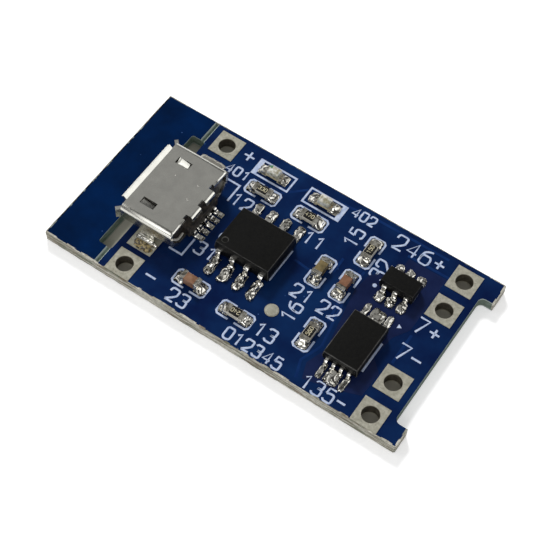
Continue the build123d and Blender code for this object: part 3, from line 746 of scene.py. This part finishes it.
# Capacitors. Sintered ceramic blocks with metal ends, one tan and two brown. Their firing has left them a
# little uneven, and duller than the resistors' glaze.
ceramic_colours = {
    "capacitor_1": ("pale_capacitor_ceramic", "#5a4f2e", "#82714a"),
    "capacitor_2": ("capacitor_ceramic", "#6e4a34", "#8f644a"),
    "capacitor_3": ("capacitor_ceramic", "#6f4a30", "#96735a"),
}
for name, (slot, dark, light) in ceramic_colours.items():
    fired = new_material("fired_ceramic_" + name[-1], {"Roughness": 0.45, "IOR": 1.6})
    mottled(fired, 0.4, dark, light, "Base Color")
    uneven(fired, 0.1, 0.01)
    dressed(name, fired, 0.05, 3)
dressed("capacitor_end_caps", fired_ends, 0.06, 3)

# Lamps. Clear resin cast over a light chip on a cream laminate base, its ends folded in tinned copper. A
# small green mark on one lamp shows its negative end.
resin_values = {"Roughness": 0.16, "IOR": 1.52, "Transmission Weight": 0.15, "Subsurface Weight": 0.2}
resin = new_material("cast_clear_resin", resin_values)
mottled(resin, 0.34, "#a89c7c", "#f6f0e2", "Base Color", low=0.38, high=0.6)
uneven(resin, 0.3, 0.02)
base_laminate = new_material("cream_laminate", {"Roughness": 0.6})
mottled(base_laminate, 0.2, "#b9ae8a", "#d8cfae", "Base Color")
polarity_green = new_material("green_marking_ink", {"Roughness": 0.5})
mottled(polarity_green, 0.1, "#2f6b44", "#5f9470", "Base Color")
for name in ("led_1", "led_2"):
    dressed(f"{name}_base", base_laminate, 0.02)
    dressed(f"{name}_lens", resin, 0.06, 3)
dressed("led_end_caps", fired_ends, 0.03)
mark_size = 0.2 * mm
mark_thickness = 0.02 * mm
mark_from_end = 0.16 * mm
mark_from_side = 0.22 * mm
mark_turn = math.radians(100)
lens_low, lens_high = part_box("led_1_lens")
mark_place = (lens_low.x + mark_from_end, lens_high.y - mark_from_side, lens_high.z)
bpy.ops.mesh.primitive_cylinder_add(vertices=3, radius=mark_size, depth=mark_thickness)
lamp_mark = bpy.context.object
lamp_mark.name = "lamp_polarity_mark"
lamp_mark.data.transform(Matrix.Translation(mark_place) @ Matrix.Rotation(mark_turn, 4, "Z"))
finish_piece(lamp_mark, polarity_green)

# Solder. Reflowed and touched up by iron: each joint is a bright lump on its land that wets the foot or the
# end cap, lowest at its outer end, and no two are quite alike.
solder = new_material("bright_solder", {"Metallic": 1.0, "Roughness": 0.14})
mottled(solder, 0.5, "#a9a69c", "#ebe9e2", "Base Color")
uneven(solder, 0.5, 0.12, detail=0)
solder_grain = 0.42 * mm
solder_texture = grain_texture("solder_ripple", solder_grain, 0)
land_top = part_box("component_lands")[1].z
# A mound starts as a cube 1 across. Points this far from its middle are on its outside, and slope down there.
outer = 0.4
end_slope = 0.12
side_slope = 0.2


def solder_mound(length, width, height, toe_drop, neck=1.0, cuts=1):
    """A lump along X in mm, narrower at its neck and lower at its toe, at +X. More cuts make it squarer."""
    bpy.ops.object.select_all(action="DESELECT")
    bpy.ops.mesh.primitive_cube_add(size=1)
    mound = bpy.context.object
    bpy.ops.object.mode_set(mode="EDIT")
    bpy.ops.mesh.select_all(action="SELECT")
    bpy.ops.mesh.subdivide(number_cuts=cuts)
    bpy.ops.object.mode_set(mode="OBJECT")
    for vertex in mound.data.vertices:
        at_end = abs(vertex.co.x) > outer
        at_side = abs(vertex.co.y) > outer
        at_toe = vertex.co.x > outer
        if vertex.co.z > outer:
            vertex.co.z -= end_slope * at_end + side_slope * at_side + toe_drop / 2 * at_toe
        if vertex.co.x < -outer:
            vertex.co.y *= neck
    mound.data.transform(Matrix.Diagonal((length * mm, width * mm, 2 * height * mm, 1)))
    apply_modifier(mound, "SUBSURF", levels=3, render_levels=3)
    bpy.ops.object.mode_set(mode="EDIT")
    bpy.ops.mesh.select_all(action="SELECT")
    bpy.ops.mesh.bisect(plane_co=(0, 0, 0), plane_no=(0, 0, 1), clear_inner=True, use_fill=True)
    bpy.ops.object.mode_set(mode="OBJECT")
    return mound


def solder_group(name, template, places, ripple_mm, finish=solder):
    """Copies a mound to its places (x, y and turn), ripples each in its own way and joins them."""
    copies = []
    for x, y, turn in places:
        copies.append(placed(template.data.copy(), x, y, land_top, turn, name="mound"))
    bpy.data.objects.remove(template)
    group = join_pieces(copies, name)
    ripple(group, solder_texture, ripple_mm * mm)
    keep_above(group, land_top)
    finish_piece(group, finish, smooth=80)


def row_places(centre, pitch, count, reach):
    """Places of the joints in a chip's two rows, each turned to face outwards."""
    xs = [centre[0] + (i - (count - 1) / 2) * pitch for i in range(count)]
    near = [(x, centre[1] - reach, -90) for x in xs]
    far = [(x, centre[1] + reach, 90) for x in xs]
    return near + far


def end_places(names, reach):
    """Places of the two joints of each small part, turned to face outwards."""
    found = []
    for name in names:
        low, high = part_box(name)
        x, y = box_centre(name)
        if high.x - low.x > high.y - low.y:
            found += [(x + reach, y, 0), (x - reach, y, 180)]
        else:
            found += [(x, y + reach, 90), (x, y - reach, -90)]
    return found


charger_pitch, charger_reach = 1.27, 2.98
protection_pitch, protection_reach = 0.95, 1.38
switch_pitch, switch_reach = 0.65, 3.03
far_row_step = 0.14
part_reach = 0.9
lamp_reach = 0.96
tail_x = -5.95
charger_row = row_places(box_centre("charger_chip_body"), charger_pitch, 4, charger_reach)
near_row = [(x, y, turn) for x, y, turn in charger_row if y < 0]
far_row = [(x, y + far_row_step, turn) for x, y, turn in charger_row if y > 0]
protection_row = row_places(box_centre("protection_chip_body"), protection_pitch, 3, protection_reach)
switch_centre = box_centre("switch_chip_body")
switch_outer = row_places(switch_centre, 3 * switch_pitch, 2, switch_reach)
switch_middle = row_places(switch_centre, switch_pitch, 1, switch_reach)
small_parts = [n for n in nodes if n.startswith(("resistor_", "capacitor_")) and n[-1].isdigit()]
part_ends = end_places(small_parts, part_reach)
lamp_ends = end_places(["led_1_base", "led_2_base"], lamp_reach)
tails = [(tail_x, box_centre(f"usb_contact_{n}")[1], 0) for n in range(1, 6)]
# Each kind of joint is its mound's length, width and height in mm, its toe's drop, its neck, its ripple in mm
# and its places
joint_kinds = {
    "charger_solder": (1.72, 0.76, 0.4, 0.1, 0.8, 0.26, near_row),
    "charger_far_solder": (1.3, 0.7, 0.3, 0.1, 0.9, 0.16, far_row),
    "protection_solder": (0.98, 0.72, 0.3, 0.1, 0.8, 0.2, protection_row),
    "switch_solder": (1.34, 0.48, 0.26, 0.1, 0.8, 0.16, switch_outer),
    "switch_middle_solder": (1.3, 1.15, 0.3, 0.2, 1.0, 0.22, switch_middle),
    "small_part_solder": (0.88, 0.92, 0.5, 0.6, 1.0, 0.26, part_ends),
    "lamp_solder": (0.72, 0.88, 0.36, 0.5, 1.0, 0.2, lamp_ends),
    "tail_solder": (1.1, 0.42, 0.26, 0.2, 1.0, 0.16, tails),
}
for name, (length, width, height, toe_drop, neck, ripple_mm, places) in joint_kinds.items():
    solder_group(name, solder_mound(length, width, height, toe_drop, neck), places, ripple_mm)
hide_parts("solder_joints")

# Solder of the socket's legs. The near one wets the wall in a wavy bright fillet. The far one is a thick fill
# that cooled slowly, so it set duller and smoother.
dull_solder = new_material("slow_cooled_solder", {"Metallic": 1.0, "Roughness": 0.38})
mottled(dull_solder, 0.6, "#b4b0a6", "#d0cdc3", "Base Color")
uneven(dull_solder, 0.5, 0.03, detail=1)
near_leg = (-8.75, -4.36, -2)
far_leg = (-8.85, 3.94, 0)
solder_group("near_leg_solder", solder_mound(2.05, 0.42, 0.5, 0.0), [near_leg], 0.2)
solder_group("far_leg_solder", solder_mound(2.2, 1.46, 0.54, 0.0, cuts=5), [far_leg], 0.05, dull_solder)

# Flux left on the near leg's land when it was soldered by hand. It has cooked to a brown varnish, glossy and
# rippled, and pale where it is thin.
flux = new_material("cooked_flux", {"Roughness": 0.22, "IOR": 1.5, "Coat Weight": 0.4, "Coat Roughness": 0.1})
mottled(flux, 0.22, "#1c1407", "#b7a169", "Base Color", low=0.4, high=0.62)
uneven(flux, 0.16, 0.04)
flux_grain = 0.3 * mm
flux_ripple = 0.4 * mm
flux_radius = 0.5 * mm
flux_stretch = (1.7, 0.8, 0.55, 1)
flux_place = (-8.8 * mm, -4.84 * mm, land_top)
flux_texture = grain_texture("flux_ripple", flux_grain)
bpy.ops.object.select_all(action="DESELECT")
bpy.ops.mesh.primitive_uv_sphere_add(segments=48, ring_count=24, radius=flux_radius)
flux_film = bpy.context.object
flux_film.name = "flux_residue"
flux_film.data.transform(Matrix.Translation(flux_place) @ Matrix.Diagonal(flux_stretch))
ripple(flux_film, flux_texture, flux_ripple)
keep_above(flux_film, land_top)
finish_piece(flux_film, flux, smooth=80)

# Studio floor. White paper that keeps the shadow and glows beside the board, for the camera and in gloss, so
# that it reads as white. Under the board its colour is painted grey, a painted shade where the board covers
# it.
floor_gap = 0.0005 * mm
floor_inset = 0.3 * mm
floor_glow = 0.4
floor_white = (0.86, 0.86, 0.86, 1)
notch_depth = 1.07 * mm
board_spans = {"X": (board_low.x, board_high.x - notch_depth), "Y": (board_low.y, board_high.y)}
bpy.ops.object.select_all(action="DESELECT")
bpy.ops.mesh.primitive_plane_add(size=2, location=(0, 0, -floor_gap))
floor = bpy.context.object
floor.name = "studio_floor"
paper = new_material(
    "white_paper", {"Roughness": 0.9, "Specular IOR Level": 0.0, "Emission Color": (1, 1, 1, 1)}
)
floor_axes = object_axes(paper)
floor_sides = []
for axis, (low, high) in board_spans.items():
    away = distance(paper, floor_axes[axis], (low + high) / 2)
    reach = (high - low) / 2 - floor_inset
    floor_sides.append(add_node(paper, "ShaderNodeMath", {0: away, 1: reach}, operation="GREATER_THAN"))
open_floor = add_node(paper, "ShaderNodeMath", {0: floor_sides[0], 1: floor_sides[1]}, operation="MAXIMUM")
# Painted shade: the paper's colour under the board is grey.
paper_white_and_painted_shade = {0: open_floor, 6: linear("#b8b5a9"), 7: floor_white}
add_node(paper, "ShaderNodeMix", paper_white_and_painted_shade, "Base Color", data_type="RGBA")
rays = add_node(paper, "ShaderNodeLightPath", {}).node.outputs
seen = add_node(
    paper, "ShaderNodeMath", {0: rays["Is Camera Ray"], 1: rays["Is Glossy Ray"]}, operation="MAXIMUM"
)
seen = add_node(paper, "ShaderNodeMath", {0: seen, 1: rays["Is Transmission Ray"]}, operation="MAXIMUM")
seen = add_node(paper, "ShaderNodeMath", {0: seen, 1: open_floor}, operation="MULTIPLY")
add_node(paper, "ShaderNodeMath", {0: seen, 1: floor_glow}, "Emission Strength", operation="MULTIPLY")
floor.data.materials.append(paper)

# Surround. It lights the object evenly from all sides. Gloss sees a dark tent instead, with a white horizon
# and four soft panels, which give the metal its bright and dark parts.
surround = bpy.data.worlds.new("studio_surround")
bpy.context.scene.world = surround
surround.use_nodes = True
background = surround.node_tree.nodes["Background"]
background.inputs["Color"].default_value = (1, 1, 1, 1)
even_light = 0.38
tent = 0.07
horizon_top = 0.1
tent_start = 0.34
# Each panel is its direction, the angles from its middle at which it is full and gone, and its strength
panels = [
    ((-0.266, 0.443, 0.856), 20, 34, 0.31),
    ((0.05, -0.70, 0.71), 18, 31, 1.7),
    ((-0.90, 0.42, 0.08), 14, 32, 0.9),
    ((0.80, 0.443, 0.40), 20, 34, 1.4),
]
direction = add_node(surround, "ShaderNodeTexCoord", {}, output="Generated")
height = add_node(surround, "ShaderNodeSeparateXYZ", {"Vector": direction}).node.outputs["Z"]
gloss_light = add_node(
    surround,
    "ShaderNodeMapRange",
    {"Value": height, "From Min": horizon_top, "From Max": tent_start, "To Min": 1.0, "To Max": tent},
    interpolation_type="SMOOTHSTEP",
)
for centre, inner, outer, strength in panels:
    towards = add_node(
        surround, "ShaderNodeVectorMath", {0: direction, 1: centre}, output="Value", operation="DOT_PRODUCT"
    )
    panel = add_node(
        surround,
        "ShaderNodeMapRange",
        {
            "Value": towards,
            "From Min": math.cos(math.radians(outer)),
            "From Max": math.cos(math.radians(inner)),
            "To Max": strength,
        },
        interpolation_type="SMOOTHSTEP",
    )
    gloss_light = add_node(surround, "ShaderNodeMath", {0: gloss_light, 1: panel}, operation="ADD")
surround_rays = add_node(surround, "ShaderNodeLightPath", {}).node.outputs
light = add_node(
    surround, "ShaderNodeMix", {0: surround_rays["Is Glossy Ray"], 2: even_light, 3: gloss_light}
)
surround.node_tree.links.new(light, background.inputs["Strength"])


# Lamps of the studio: a key from behind on the left, which gloss doesn't show, and two wide ones that soften
# its shadow from the left and the front.
def soft_lamp(name, place, size, power, glossy=True):
    """A square lamp that looks at the board. Gloss shows it or not."""
    data = bpy.data.lights.new(name, "AREA")
    data.size = size
    data.energy = power
    lamp = bpy.data.objects.new(name, data)
    bpy.context.scene.collection.objects.link(lamp)
    lamp.location = place
    lamp.rotation_mode = "QUATERNION"
    lamp.rotation_quaternion = (-Vector(place)).to_track_quat("-Z", "Y")
    lamp.visible_glossy = glossy


soft_lamp("key_lamp", place=(-0.2, 0.22, 0.27), size=0.07, power=0.95, glossy=False)
soft_lamp("left_lamp", place=(-0.30, -0.05, 0.22), size=0.22, power=0.2)
soft_lamp("front_lamp", place=(0.05, -0.32, 0.2), size=0.2, power=0.3)

# Camera. It stands where the photograph's camera stood, as solved from the board's corners and terminals, and
# looks down on the board at 59 degrees.
camera_place = (0.02850, -0.04723, 0.09009)
camera_forward = Vector((-0.2659, 0.4427, -0.8563)).normalized()
camera_up = Vector((-0.4926, 0.7012, 0.5155))
camera_data = bpy.data.cameras.new("camera")
camera_data.lens = 90.4
camera_data.clip_start = 0.005
camera = bpy.data.objects.new("camera", camera_data)
bpy.context.scene.collection.objects.link(camera)
camera_right = camera_forward.cross(camera_up).normalized()
camera_up = camera_right.cross(camera_forward)
camera_turn = Matrix((camera_right, camera_up, -camera_forward)).transposed()
camera.matrix_world = Matrix.Translation(camera_place) @ camera_turn.to_4x4()
bpy.context.scene.camera = camera
bpy.context.scene.view_settings.view_transform = "Standard"
